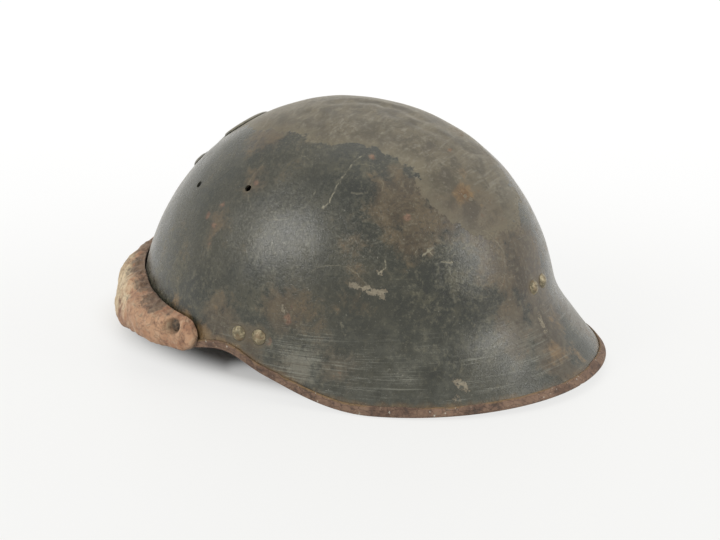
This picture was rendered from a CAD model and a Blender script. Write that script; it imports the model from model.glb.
"""Motorized troops helmet: the looks of each piece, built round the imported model."""

import math
from functools import reduce

import bpy
import numpy as np
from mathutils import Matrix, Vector


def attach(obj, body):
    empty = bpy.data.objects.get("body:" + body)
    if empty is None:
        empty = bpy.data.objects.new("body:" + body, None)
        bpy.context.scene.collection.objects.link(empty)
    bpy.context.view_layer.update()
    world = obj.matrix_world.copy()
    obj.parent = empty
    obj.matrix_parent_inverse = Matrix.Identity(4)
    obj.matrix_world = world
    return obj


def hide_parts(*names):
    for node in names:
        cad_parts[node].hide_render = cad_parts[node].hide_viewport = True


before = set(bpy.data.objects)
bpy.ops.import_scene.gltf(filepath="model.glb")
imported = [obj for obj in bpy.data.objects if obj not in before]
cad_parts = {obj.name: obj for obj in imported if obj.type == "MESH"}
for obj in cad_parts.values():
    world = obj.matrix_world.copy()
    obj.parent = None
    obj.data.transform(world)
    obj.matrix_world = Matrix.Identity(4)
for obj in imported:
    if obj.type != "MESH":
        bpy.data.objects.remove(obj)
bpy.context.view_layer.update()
scene = bpy.context.scene

# Table, lights and camera

# A white table under three soft boxes, one to the left, one beyond the neck guard and one above,
# seen from behind the wearer's left ear and a little above it. The camera sees the table lit but
# for the helmet's own shadow, which fades out over an oval round it.


class Wire:
    """A value on its way through a finish's nodes. Arithmetic on it adds the Math nodes."""

    def __init__(self, finish, socket):
        self.finish, self.socket = finish, socket

    def math(self, operation, *values):
        return self.finish.node("Math", {"operation": operation}, dict(enumerate(values)))

    def __add__(self, other):
        return self.math("ADD", self, other)

    def __sub__(self, other):
        return self.math("SUBTRACT", self, other)

    def __rsub__(self, other):
        return self.math("SUBTRACT", other, self)

    def __mul__(self, other):
        return self.math("MULTIPLY", self, other)

    def __truediv__(self, other):
        return self.math("DIVIDE", self, other)

    def __pow__(self, other):
        return self.math("POWER", self, other)

    __radd__ = __add__

    def least(self, other):
        return self.math("MINIMUM", self, other)

    def most(self, other):
        return self.math("MAXIMUM", self, other)

    def rise(self, low, high):
        """0 below low, 1 above high and smooth between; low above high turns it round."""
        turned = low > high
        low, high = min(low, high), max(low, high)
        step = self.finish.node("MapRange", {"interpolation_type": "SMOOTHSTEP"},
                                {"Value": self, "From Min": low, "From Max": high})
        return 1 - step if turned else step


class Nodes:
    """A node tree, to which values and wires are added."""

    def __init__(self, tree):
        self.tree = tree

    def plug(self, socket, value):
        if isinstance(value, Wire):
            self.tree.links.new(value.socket, socket)
        elif socket.type == "RGBA":
            socket.default_value = tuple(value)[:3] + (1.0,)
        else:
            socket.default_value = value

    def node(self, kind, settings=None, sockets=None, out=0):
        """Any node: its settings first, then the values or wires of its sockets."""
        made = self.tree.nodes.new("ShaderNode" + kind)
        for name, value in (settings or {}).items():
            setattr(made, name, value)
        for name, value in (sockets or {}).items():
            self.plug(made.inputs[name], value)
        return Wire(self, made.outputs[out])

    def vector(self, operation, *values, out="Vector", **named):
        sockets = {**dict(enumerate(values)), **named}
        return self.node("VectorMath", {"operation": operation}, sockets, out)

    def seen_ray(self):
        """1 for what the camera sees, straight or in a glossy surface."""
        return self.node("LightPath", out="Is Camera Ray").most(
            self.node("LightPath", out="Is Glossy Ray"))


class Finish(Nodes):
    """A material worked out from nodes round one Principled shader."""

    def __init__(self, name, **fixed):
        self.material = bpy.data.materials.new(name)
        self.material.use_nodes = True
        super().__init__(self.material.node_tree)
        self.shader = self.tree.nodes["Principled BSDF"]
        self.set(**fixed)

    def set(self, **inputs):
        """Shader inputs by name, with underscores for spaces."""
        for name, value in inputs.items():
            self.plug(self.shader.inputs[name.replace("_", " ")], value)

    def place(self, scale=(1, 1, 1)):
        """Where a point lies on the helmet, in metres, stretched by scale."""
        return self.vector("MULTIPLY", self.node("TexCoord", out="Object"), scale)

    def noise(self, where, scale, detail=3.0, rough=0.55, bend=0.0):
        return self.node("TexNoise", None, {"Vector": where, "Scale": scale, "Detail": detail,
                                            "Roughness": rough, "Distortion": bend})

    def cells(self, where, scale, feature="F1"):
        return self.node("TexVoronoi", {"feature": feature}, {"Vector": where, "Scale": scale})

    def field(self, name):
        """A number that the mesh keeps at its points."""
        return self.node("Attribute", {"attribute_name": name}, out="Fac")

    def mix(self, share, first, second):
        return self.node("Mix", {"data_type": "RGBA"}, {0: share, 6: first, 7: second}, out=2)

    def coats(self, colour, *coats):
        """Colours laid over a first one, each with the share that shows."""
        for share, over in coats:
            colour = self.mix(share, colour, over)
        return colour

    def bump(self, height, depth, under=None):
        """A normal raised by height, where 1 stands for depth metres."""
        sockets = {"Height": height, "Distance": depth, "Strength": 1.0}
        if under:
            sockets["Normal"] = under
        return self.node("Bump", None, sockets)


table_finish = Finish("table_white", Roughness=0.6, Specular_IOR_Level=0.2)
here = table_finish.place()
beneath = table_finish.vector("MULTIPLY_ADD", here, (10.0, 6.25, 0), (0, 0.125, 0))
beneath = table_finish.vector("LENGTH", beneath, out="Value")
away = table_finish.vector("LENGTH", here, out="Value")
beyond = table_finish.vector("DOT_PRODUCT", here, (-0.88, -0.48, 0), out="Value")
under_ear = table_finish.vector("DISTANCE", here, (0.080, -0.024, 0), out="Value").rise(0.030, 0.008)
lit = (beneath.rise(0.64, 0.98) * 0.85 + away.rise(0.14, 0.42) * 0.15).most(under_ear * 0.42)
lit = lit * table_finish.seen_ray()
pale = table_finish.mix(beyond.rise(-0.3, 0.7), (0.895, 0.895, 0.885), (0.955, 0.955, 0.953))
table_finish.set(Base_Color=table_finish.mix(lit, (0.80, 0.80, 0.79), (0, 0, 0)),
                 Emission_Color=table_finish.mix(lit, (0, 0, 0), pale), Emission_Strength=1.0)
TABLE_HALF, TABLE_DROP = 6.0, 0.0002
table_mesh = bpy.data.meshes.new("table")
table_mesh.from_pydata([(x * TABLE_HALF, y * TABLE_HALF, 0)
                        for x, y in ((-1, -1), (1, -1), (1, 1), (-1, 1))], [], [(0, 1, 2, 3)])
table = bpy.data.objects.new("table", table_mesh)
table.data.materials.append(table_finish.material)
table.location.z = -TABLE_DROP
scene.collection.objects.link(table)

sky = bpy.data.worlds.new("studio")
scene.world = sky
sky.use_nodes = True
sky_nodes = Nodes(sky.node_tree)
background = sky.node_tree.nodes["Background"]
level = sky_nodes.node("MapRange", None,
                       {"Value": sky_nodes.seen_ray(), "To Min": 0.60, "To Max": 0.92})
sky_nodes.plug(background.inputs["Strength"], level)
sky_nodes.plug(background.inputs["Color"], (1, 0.995, 0.97))


def soft_box(name, direction, away, size, power):
    """A square lamp at a distance along a direction, turned to the helmet."""
    lamp = bpy.data.lights.new(name, "AREA")
    lamp.shape, lamp.size, lamp.energy = "SQUARE", size, power
    lamp.color = (1.0, 0.985, 0.94)
    box = bpy.data.objects.new(name, lamp)
    aim = Vector(direction).normalized()
    box.location = aim * away + Vector((0, 0, 0.06))
    box.rotation_euler = aim.to_track_quat("Z", "Y").to_euler()
    scene.collection.objects.link(box)


soft_box("left_box", (0.75, -0.35, 0.56), 1.5, 0.56, 7.6)
soft_box("far_box", (-0.14, 0.89, 0.44), 1.5, 0.60, 5.6)
soft_box("top_box", (-0.25, 0.0, 1.0), 1.9, 1.8, 6.5)

EYE_AT, LOOKED_AT, LENS = (0.76007, 0.41653, 0.32701), (-0.00518, -0.00225, 0.03783), 82.2
eye = bpy.data.objects.new("camera", bpy.data.cameras.new("camera"))
scene.collection.objects.link(eye)
eye.location = EYE_AT
eye.rotation_euler = (Vector(LOOKED_AT) - Vector(EYE_AT)).to_track_quat("-Z", "Y").to_euler()
eye.data.sensor_width, eye.data.lens = 36.0, LENS
eye.data.clip_start, eye.data.clip_end = 0.05, 30
scene.camera = eye
scene.view_settings.view_transform = "Standard"

# Bowl

# One pressing of 1.2 mm steel: an upright oval dome whose crown leans back a little, drawn out
# behind into a neck guard and turned out at the brow. Two small vents are drilled on each side.
# It is painted dark grey green, worn through to an older olive coat on the crown.

HALF_W, FRONT_REACH, REAR_REACH, OVAL = 100.0, 114.0, 121.5, 2.07
CROWN_Z, EQUATOR_Z, LEAN = 135.5, 19.0, 5.7
RIM_REAR, RIM_BROW, LOW_AT, BROW_AT, EAR_ARCH, EAR_AT = 3.0, 16.6, 53.6, 97.0, 4.5, 99.0
BEND_Z, GUARD_OUT, GUARD_END, GUARD_FADE, GUARD_SLOPE, BROW_OUT = 34.0, 31.0, 100.0, 2.3, 1.05, 4.9
WALL, STRIP, SLACK = 1.2, 0.8, 0.1  # the steel, the strip folded round its edge and their play
STRIP_OUT, STRIP_IN = STRIP + SLACK, WALL + STRIP + SLACK
CENTRE_Y = -11.7142  # moves every piece, so that the helmet is centred on its length
FAR = 30.0  # no mark is looked for beyond this distance in mm


def ease(x):
    """3x^2 - 2x^3, held at 0 and 1."""
    x = np.clip(x, 0, 1)
    return x * x * (3 - 2 * x)


def signed_power(x, p):
    """|x|^p with the sign of x."""
    return np.sign(x) * np.abs(x) ** p


def unit(v):
    return v / np.maximum(np.linalg.norm(v, axis=-1, keepdims=True), 1e-12)


def from_rear(t):
    """Plan angle from the back of the neck, 0 to 180, of angle t from the wearer's left."""
    return np.abs((t + 1170) % 360 - 180)


def outward(t):
    """The level direction cos t, sin t."""
    return np.stack([np.cos(np.radians(t)), np.sin(np.radians(t)), 0 * t], -1)


def oval(t, w, front, rear, p):
    """Radius of the oval |x/w|^p + |y/reach|^p = 1 at angle t."""
    c, s = np.cos(np.radians(t)), np.sin(np.radians(t))
    return ((np.abs(c) / w) ** p + (np.abs(s) / np.where(s > 0, rear, front)) ** p) ** (-1 / p)


def rim_z(t):
    """Height of the rim line: 3 mm behind, 0 where it stands, 16.6 mm at the brow, with a
    cosine-squared arch of 4.5 mm over each ear."""
    a = from_rear(t)
    e = np.clip((a - EAR_AT) / 16, -1, 1)
    return (RIM_REAR * (1 - ease(a / LOW_AT)) + RIM_BROW * ease((a - LOW_AT) / (BROW_AT - LOW_AT))
            + EAR_ARCH * np.cos(np.pi / 2 * e) ** 2)


def flare(t):
    """Reach of the rim beyond the bowl: a fading cosine behind, an eased turn at the brow."""
    a = from_rear(t)
    guard = GUARD_OUT * np.clip(np.cos(np.pi / 2 * a / GUARD_END), 0, 1) ** GUARD_FADE
    return np.where(a < GUARD_END, guard, 0) + BROW_OUT * ease((a - 108) / 30)


def dome_share(z):
    """How far up the dome a height is, 0 at its widest line to 1 at the crown."""
    return np.clip((z - EQUATOR_Z) / (CROWN_Z - EQUATOR_Z), 0, 1)


def skin(t, z, soft=0.20):
    """Outer face of the steel: oval radius times sqrt(1 - h^2) up the dome, plus the flare
    times the share q of the way down the neck guard; soft rounds the bend between them, and
    fades out above it."""
    h = dome_share(z)
    q = (BEND_Z - z) / (BEND_Z - rim_z(t))
    q = (q + np.sqrt(q * q + soft * soft)) / 2 * np.exp(-(np.minimum(q, 0) / 0.3) ** 2)
    r = oval(t, HALF_W, FRONT_REACH, REAR_REACH, OVAL) * np.sqrt(1 - h * h)
    r = r + flare(t) * q ** GUARD_SLOPE
    middle = np.stack([0 * r, LEAN * h + CENTRE_Y + 0 * r, z + 0 * r], -1)
    return middle + r[..., None] * outward(t + 0 * r)


def skin_angle(points):
    """The plan angle at which the skin passes nearest to points."""
    return np.degrees(np.arctan2(points[..., 1] - LEAN * dome_share(points[..., 2]) - CENTRE_Y,
                                 points[..., 0]))


def facing(t, z):
    """Outward normal of the skin, from the cross product of its two slopes."""
    z = np.minimum(z, CROWN_Z - 0.4)
    around = skin(t + 0.2, z) - skin(t - 0.2, z)
    up = skin(t, z + 0.2) - skin(t, z - 0.2)
    return unit(np.cross(around, up))


def edge_side(t):
    """Direction out of the steel at its edge, as outward and upward shares."""
    slope = flare(t) * GUARD_SLOPE / (BEND_Z - rim_z(t))
    return 1 / np.sqrt(1 + slope ** 2), slope / np.sqrt(1 + slope ** 2)


def edge_z(t):
    """Height of the steel's edge, which leaves room for the binding below it."""
    out, up = edge_side(t)
    return rim_z(t) + STRIP_OUT * out + STRIP_IN * up


def ripples(points, seed, length, count=24):
    """Slow waves over a surface: the mean of seeded sines in random directions, -1 to 1."""
    pick = np.random.default_rng(seed)
    way = unit(pick.normal(size=(count, 3))) * (2 * np.pi / length)
    way = way * pick.uniform(0.6, 1.6, (count, 1))
    return np.sin(points @ way.T + pick.uniform(0, 6.28, count)).sum(-1) / math.sqrt(count)


def soft_spots(points, spots):
    """The strongest of several spots at each point: strength times e^-(distance / width)^2."""
    return np.maximum.reduce([
        much * np.exp(-(np.linalg.norm(points - np.array(spot, float), axis=-1) / wide) ** 2)
        for spot, wide, much in spots])


def capsule(points, ends, wide):
    """Distance in mm past a rounded bar between two points, below 0 inside it."""
    a, b = (np.array(e, float) for e in ends)
    run = np.clip(((points - a) @ (b - a)) / max((b - a) @ (b - a), 1e-9), 0, 1)
    return np.linalg.norm(points - a - run[..., None] * (b - a), axis=-1) - wide


def nearest(points, bars):
    """Distance in mm past the nearest of several rounded bars."""
    return np.minimum.reduce([np.full(len(points), FAR)]
                             + [capsule(points, ends, wide) for ends, wide in bars])


def grid_faces(rows, columns, ring_rows=False, ring_columns=False, start=0):
    """Quads between neighbouring points of a grid; a ring joins its last line to its first."""
    i = np.arange(rows if ring_rows else rows - 1)[:, None]
    j = np.arange(columns if ring_columns else columns - 1)[None, :]
    k, l = (i + 1) % rows, (j + 1) % columns
    corners = [i * columns + j, i * columns + l, k * columns + l, k * columns + j]
    return start + np.stack(np.broadcast_arrays(*corners), -1).reshape(-1, 4)


def fan_faces(line, tip):
    """Triangles from each side of a closed line of point numbers to a tip."""
    return np.stack([line, np.roll(line, -1), np.full(len(line), tip)], -1)


def capped_faces(rows, columns):
    """Faces of a tube of rings whose first and last ring run in to two tips, the points that
    follow the rings."""
    return [grid_faces(rows, columns, ring_columns=True),
            fan_faces(np.arange(columns)[::-1], rows * columns),
            fan_faces(np.arange(columns) + (rows - 1) * columns, rows * columns + 1)]


def make_mesh(name, points, *faces, sharp=None):
    """A mesh in metres from points in millimetres, its faces turned so that it holds a
    positive volume, the sum of the signed tetrahedra to the origin. Edges that bend by more
    than sharp degrees stay crisp."""
    points = np.asarray(points, float).reshape(-1, 3)
    volume = sum(np.sum(points[f[:, 0]] * np.cross(points[f[:, i]], points[f[:, i + 1]]))
                 for f in faces for i in range(1, f.shape[1] - 1))
    faces = [f if volume > 0 else f[:, ::-1] for f in faces]
    sizes = np.concatenate([np.full(len(f), f.shape[1]) for f in faces])
    mesh = bpy.data.meshes.new(name)
    mesh.vertices.add(len(points))
    mesh.vertices.foreach_set("co", (points / 1000).astype(np.float32).ravel())
    mesh.loops.add(int(sizes.sum()))
    corners = np.concatenate([f.ravel() for f in faces])
    mesh.loops.foreach_set("vertex_index", corners.astype(np.int32))
    mesh.polygons.add(len(sizes))
    mesh.polygons.foreach_set("loop_start", (np.cumsum(sizes) - sizes).astype(np.int32))
    mesh.update(calc_edges=True)
    mesh.shade_smooth()
    if sharp:
        mesh.set_sharp_from_angle(angle=math.radians(sharp))
    return mesh


def add_piece(mesh, finish, body, slot, *nodes, fields=None):
    """Puts a mesh in the scene as a piece that rides on a body and stands for CAD nodes."""
    for name, values in (fields or {}).items():
        mesh.attributes.new(name, "FLOAT", "POINT").data.foreach_set(
            "value", np.asarray(values, np.float32).ravel())
    mesh.materials.append(finish.material)
    piece = bpy.data.objects.new(mesh.name, mesh)
    scene.collection.objects.link(piece)
    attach(piece, body)
    if nodes:
        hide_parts(*nodes)
    return piece


# Dents with their width and depth, and the two ends of each crease, all in mm.
DENTS = [((0, 18, 133), 15, 0.9), ((-18, 45, 126), 11, 0.8), ((24, -22, 127), 9, 0.6),
         ((28, 30, 126), 8, 0.7), ((6, 62, 114), 12, 0.8), ((-35, -8, 126), 13, 0.7),
         ((-60, 60, 84), 12, 0.8), ((16, 2, 133), 7, 0.6)]
CREASES = [((8.0, -10.0, 134.3), (0.0, 2.0, 135.2)), ((-3.0, 3.0, 135.0), (-6.0, 13.0, 133.8)),
           ((-5.0, 14.0, 133.6), (5.0, 23.0, 131.8)), ((-8.0, 21.0, 132.2), (-5.0, 34.0, 128.7)),
           ((14.0, 12.0, 133.0), (24.0, 16.0, 130.6)), ((4.0, 36.0, 128.4), (0.0, 50.0, 121.8)),
           ((22.0, -16.0, 132.0), (30.0, -8.0, 130.6))]
columns, dome_rows, guard_rows = 360, 76, 18
around = np.arange(columns) * 360.0 / columns
bend_turn = math.asin((BEND_Z - EQUATOR_Z) / (CROWN_Z - EQUATOR_Z))
share = np.arange(1, dome_rows + 1) / dome_rows
dome_z = EQUATOR_Z + (CROWN_Z - EQUATOR_Z) * np.cos((np.pi / 2 - bend_turn) * share)
guard_share = np.arange(1, guard_rows + 1)[:, None] / guard_rows
t_grid = np.broadcast_to(around, (dome_rows + guard_rows, columns))
z_grid = np.vstack([np.broadcast_to(dome_z[:, None], (dome_rows, columns)),
                    BEND_Z + (edge_z(around) - BEND_Z) * guard_share])
bowl_out, bowl_normal = skin(t_grid, z_grid), facing(t_grid, z_grid)
bowl_in = bowl_out - WALL * bowl_normal
sway = 0.16 * ripples(bowl_out, 3, 70) + 0.10 * ripples(bowl_out, 5, 26)
for dent in DENTS:
    sway = sway - soft_spots(bowl_out, [dent])
for crease in CREASES:
    gap = capsule(bowl_out, crease, 0)
    sway = sway - 0.5 * np.exp(-(gap / 3.6) ** 2) + 0.15 * np.exp(-((gap - 6.5) / 2.8) ** 2)
sway = (sway * ease((z_grid - rim_z(t_grid) - 4) / 14))[..., None] * bowl_normal
bowl_points = np.vstack([(bowl_out + sway).reshape(-1, 3), (bowl_in + sway)[::-1].reshape(-1, 3),
                         [[0, LEAN + CENTRE_Y, CROWN_Z], [0, LEAN + CENTRE_Y, CROWN_Z - WALL]]])
bowl_mesh = make_mesh("bowl_shell", bowl_points, *capped_faces(2 * (dome_rows + guard_rows), columns))


def drill(mesh, holes, wide, deep, sides=28):
    """Cuts round holes through a mesh, each at a point and along a direction, with many-sided
    rods joined in one cutter."""
    turn = np.linspace(0, 2 * np.pi, sides, endpoint=False)
    points, walls, ends = [], [], []
    for spot, along in holes:
        side = unit(np.cross(along, [0.3, 0.2, 1.0]))
        ring = np.cos(turn)[:, None] * side + np.sin(turn)[:, None] * np.cross(along, side)
        start = 2 * sides * len(ends)
        points += [spot + wide / 2 * ring + deep * along, spot + wide / 2 * ring - deep * along]
        walls.append(grid_faces(2, sides, ring_columns=True, start=start))
        ends.append(np.stack([start + np.arange(sides)[::-1], start + sides + np.arange(sides)]))
    rods = make_mesh("drill", np.vstack(points), np.vstack(walls), np.vstack(ends))
    cutter = bpy.data.objects.new("drill", rods)
    body = bpy.data.objects.new("drilled", mesh)
    for one in (cutter, body):
        scene.collection.objects.link(one)
    cut = body.modifiers.new("cut", "BOOLEAN")
    cut.object, cut.operation, cut.solver = cutter, "DIFFERENCE", "EXACT"
    view = bpy.context.evaluated_depsgraph_get()
    done = bpy.data.meshes.new_from_object(body.evaluated_get(view))
    for one in (cutter, body):
        bpy.data.objects.remove(one)
    return done


VENT_WIDE, VENT_REACH = 3.8, 4.0
vent_t = np.array([-44.0, -15.5, 224.0, 195.5])
vent_z = np.array([94.5, 100.3, 94.5, 100.3])
vents = list(zip(skin(vent_t, vent_z), facing(vent_t, vent_z)))
bowl_mesh = drill(bowl_mesh, vents, VENT_WIDE, VENT_REACH)
bowl_mesh.set_sharp_from_angle(angle=math.radians(50))
bowl_mesh.name = "bowl_shell"


def read(things, what):
    """Points or normals of a mesh as rows of three."""
    values = np.empty(len(things) * 3, np.float32)
    things.foreach_get(what, values)
    return values.reshape(-1, 3).astype(float)


# Where the paint has suffered: a place in mm, a width in mm and a strength; for chips and
# scratches a bar's two ends and its half width; for rust a spot and its radius; for arcs the
# centre and radius of a sphere that cuts the skin.
STAINS = [((52, 50, 98), 22, 1.0), ((60, 62, 80), 15, 0.8), ((40, 70, 90), 18, 0.9),
          ((24, 85, 90), 22, 1.0), ((8, 108, 60), 24, 1.2), ((2, 112, 34), 16, 1.4),
          ((9, 119, 26), 14, 1.5), ((17, 125, 16), 13, 1.4), ((30, 100, 66), 18, 0.9),
          ((78, -42, 84), 12, 0.35), ((95, 8, 48), 12, 1.0), ((97, -30, 35), 14, 1.0),
          ((99, -12, 28), 11, 1.1), ((93, 38, 24), 14, 0.6), ((97, 18, 16), 10, 0.8),
          ((28, 106, 38), 13, 1.1), ((36, 110, 27), 12, 0.7), ((70, 40, 88), 15, 0.6),
          ((91, -58, 28), 9, 1.3), ((95, -48, 24), 8, 1.3), ((44, -30, 120), 16, 0.8),
          ((66, -24, 102), 12, 0.6), ((86, 44, 58), 14, 0.5), ((-40, 60, 100), 30, 0.9),
          ((-92, 30, 40), 22, 0.8), ((-80, -50, 50), 20, 0.7), ((0, -80, 95), 26, 0.7),
          ((-30, 115, 25), 16, 0.8), ((-70, 10, 96), 16, 0.7), ((30, -90, 76), 16, 0.6)]
PALE = [((98.7, 20.0, 21.0), 15, 1.15), ((49.3, 100.6, 27.5), 13, 0.75),
        ((53.9, 75.1, 76.3), 11, 0.6), ((80.8, 70.9, 23.1), 12, 0.5), ((88, -12, 72), 18, 0.2),
        ((70, 62, 60), 12, 0.4), ((93, 38, 24), 12, 0.6), ((20, 122, 26), 20, 0.6),
        ((-88, 10, 70), 18, 0.6), ((-50, 100, 27), 18, 0.7), ((20, -100, 72), 16, 0.5)]
OCHRE = [((88.0, -62.0, 35.0), 9, 1.0), ((92.0, -53.0, 31.0), 9, 1.2),
         ((96.5, -40.0, 27.0), 9, 1.2), ((98.8, -29.0, 24.0), 8, 1.1),
         ((99.6, -18.0, 20.5), 7, 1.0), ((99.5, -4.0, 15.0), 6, 0.8),
         ((25.5, 74.0, 100.4), 7.5, 1.35), ((14.0, 68.0, 109.0), 8, 0.75),
         ((21.0, 82.0, 92.0), 5, 0.6), ((13.0, 122.5, 18.0), 10, 1.15),
         ((-2.0, 121.0, 32.0), 15, 0.8), ((0.0, 130.0, 14.0), 11, 0.8),
         ((-2.0, 110.0, 60.0), 14, 0.65), ((22.0, 122.0, 12.0), 8, 1.1),
         ((34.0, 117.5, 10.0), 7, 0.9), ((96.9, -30.2, 40.0), 5, 0.7),
         ((-88.0, -62.0, 35.0), 9, 1.0), ((-96.5, -40.0, 27.0), 9, 1.0), ((-30, 120, 10), 8, 0.8)]
CRAZED = [((82.8, -1.0, 84.0), 24, 1.0), ((72.0, 40.0, 86.0), 20, 0.6),
          ((45.0, 86.0, 69.0), 17, 0.9), ((-80.0, 10.0, 84.0), 24, 0.9), ((-50, 80, 66), 18, 0.8),
          ((30, -98, 74), 18, 0.7)]
CHIPS = [(((83.4, 41.0, 63.2), (80.4, 49.0, 60.9)), 1.3),
         (((80.4, 49.0, 60.9), (77.9, 55.5, 58.4)), 1.7),
         (((71.5, 93.2, 16.8), (68.2, 97.4, 15.6)), 1.1),
         (((69.6, 95.4, 15.6), (67.4, 98.8, 12.2)), 1.4),
         (((71.2, 94.6, 13.8), (70.6, 95.8, 12.0)), 0.7),
         (((68.6, 96.8, 14.8), (65.8, 98.8, 15.6)), 0.6),
         (((74.2, 95.6, 8.4), (72.9, 97.6, 7.8)), 0.9),
         (((95.6, 8.0, 49.0), (95.8, 9.4, 47.2)), 1.3),
         (((75.3, 53.1, 69.0), (74.9, 54.0, 69.6)), 0.9),
         (((8.2, 110.6, 34.6), (10.2, 116.5, 27.5)), 1.2),
         (((22.5, 78.6, 97.0), (26.5, 73.6, 100.0)), 0.3), (((-70, 70, 60), (-66, 77, 57)), 1.8),
         (((-90, -30, 58), (-92, -24, 56)), 1.3), (((-60, 105, 14), (-54, 110, 12)), 1.6),
         (((40, -95, 70), (43, -93, 68)), 1.2), (((-20, -108, 62), (-16, -109, 61)), 1.1),
         (((-30, 88, 80), (-25, 91, 78.5)), 1.0)]
RUST = [((43.0, 31.1, 117.9), 1.2), ((55.9, 58.5, 92.7), 2.0), ((24.3, 74.5, 100.1), 2.8),
        ((23.1, 84.8, 89.0), 1.2), ((6.6, 57.7, 117.2), 1.6), ((68.0, -23.3, 103.0), 1.1),
        ((80.0, -41.3, 80.9), 1.9), ((75.5, -48.6, 84.2), 1.6), ((74.2, -40.5, 90.4), 1.4),
        ((84.5, -42.0, 72.0), 1.5), ((96.0, 11.9, 44.1), 2.2), ((94.8, 14.0, 50.5), 1.4),
        ((99.0, 2.0, 30.0), 1.8), ((-60, 50, 90), 2.6), ((-84, -20, 74), 2.2),
        ((-30, 100, 60), 2.4), ((-10, -98, 78), 2.2), ((30, -104, 60), 1.6), ((-96, 30, 30), 2.0)]
BOLD = [(((45.2, 25.9, 118.2), (51.3, 24.0, 114.7)), 0.50),
        (((51.3, 24.0, 114.7), (56.5, 22.2, 110.9)), 0.65),
        (((56.5, 22.2, 110.9), (62.0, 21.3, 106.4)), 0.75),
        (((62.0, 21.3, 106.4), (66.4, 21.4, 101.7)), 0.60),
        (((66.4, 21.4, 101.7), (69.0, 21.7, 98.7)), 0.45),
        (((70.0, 20.5, 97.8), (71.8, 19.0, 95.8)), 0.70),
        (((71.8, 53.5, 74.8), (73.1, 54.7, 71.2)), 0.75),
        (((73.1, 54.7, 71.2), (75.7, 52.8, 68.5)), 0.75),
        (((57.2, 70.6, 78.1), (48.5, 76.9, 80.8)), 0.50),
        (((57.1, 71.1, 77.6), (54.8, 77.9, 71.7)), 0.50),
        (((62.8, 65.1, 76.7), (59.4, 67.2, 79.8)), 0.45),
        (((54.8, 77.9, 71.7), (51.0, 80.4, 71.4)), 0.70),
        (((57.1, 71.1, 77.6), (60.6, 69.2, 75.6)), 0.60)]
FINE = [(((36.5, 51.3, 112.1), (25.0, 57.5, 113.4)), 0.50),
        (((57.1, 60.4, 89.6), (53.8, 63.1, 90.2)), 0.60),
        (((50.5, 76.8, 77.5), (53.0, 76.0, 74.0)), 0.50),
        (((89.1, 39.1, 44.5), (89.7, 40.6, 37.0)), 0.55),
        (((76.5, 44.0, 77.0), (75.0, 50.5, 73.0)), 0.45),
        (((62.5, 30.0, 103.5), (60.0, 36.0, 103.0)), 0.70), (((-50, 40, 105), (-66, 30, 92)), 0.5)]
ARCS = [((56.5, 32.5, 108.5), 10.5), ((62.0, -8.0, 98.0), 21.0), ((40.0, 92.0, 70.0), 18.0)]
WORN_MIDDLE_Y, WORN_HALF_X, WORN_HALF_Y, LOBE, LOBE_REACH = 8.0, 42.5, 80.0, (13.0, 71.0, 104.0), 32.0


def skin_fields(points, normals):
    """What the paint needs at each point: mm above the rim, mm into the worn crown (an oval with
    one lobe behind), the share of rubbed skirt, the soft spots above, mm to the nearest chip,
    rust spot and rivet, and which side of the steel it is on."""
    x, y, z = points.T
    above = z - rim_z(skin_angle(points))
    crown = (1 - np.hypot(x / WORN_HALF_X, (y - WORN_MIDDLE_Y) / WORN_HALF_Y)) * 45
    lobe = LOBE_REACH - np.linalg.norm(points - np.array(LOBE), axis=-1)
    rivet = np.full(len(points), FAR)
    for node in ("rivets_rear", "rivets_left", "rivets_right", "rivets_front"):
        heads = np.array([v.co[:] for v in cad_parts[node].data.vertices]) * 1000
        near = np.flatnonzero(np.linalg.norm(points - heads.mean(0), axis=-1) < FAR + 10)
        away = np.linalg.norm(points[near, None] - heads[None], axis=-1).min(1)
        rivet[near] = np.minimum(rivet[near], away)
    outer = np.einsum("ij,ij->i", normals, points - np.array([0, CENTRE_Y, 45])) > 0
    return {"above_rim": above, "crown": np.maximum(crown, lobe),
            "skirt": ease((54 - z) / 28) * ease(above / 8),
            "stain": soft_spots(points, STAINS), "pale": soft_spots(points, PALE),
            "ochre": soft_spots(points, OCHRE), "crazed": soft_spots(points, CRAZED),
            "chip": nearest(points, CHIPS),
            "rust": nearest(points, [((spot, spot), radius) for spot, radius in RUST]),
            "rivet": rivet, "outer": outer.astype(float)}


def ragged(mask, *noises):
    """A mask whose border is broken up by noises, each with how far it reaches."""
    for noise, reach in noises:
        mask = mask + (noise - 0.5) * reach
    return mask


def strands(finish, turn, long, fine, seed):
    """Fine straight scratches: noise drawn out to long mm along one axis of a frame turned by
    Euler angles, and fine mm wide across it."""
    where = finish.node("Mapping", None, {
        "Vector": finish.place(), "Rotation": turn, "Location": (seed, 0, 0),
        "Scale": (1000 / long, 1000 / fine, 1000 / fine)})
    return finish.noise(where, 1.0, 2, 0.5, 0.3)


def scratch(finish, where, ends, wide, broken):
    """A hair line between two points in mm: 1 within wide mm of it, broken up by noise. The
    distance is that to the nearest point of the bar, of which a seventh counts across the skin."""
    a, b = (np.array(e, float) / 1000 for e in ends)
    run = b - a
    across = unit(a - np.array([0, CENTRE_Y, 40]) / 1000)
    from_a = finish.vector("SUBTRACT", where, tuple(a))
    depth = finish.vector("DOT_PRODUCT", from_a, tuple(across), out="Value")
    sunk = finish.vector("SCALE", tuple(across * 6 / 7), Scale=depth)
    from_a = finish.vector("SUBTRACT", from_a, sunk)
    share = finish.vector("DOT_PRODUCT", from_a, tuple(run / (run @ run)), out="Value")
    on_bar = finish.vector("SCALE", tuple(run), Scale=share.most(0.0).least(1.0))
    away = finish.vector("DISTANCE", from_a, on_bar, out="Value")
    return (away * 1000 + (broken - 0.5) * wide * 5.0).rise(wide, wide * 0.1)


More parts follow.
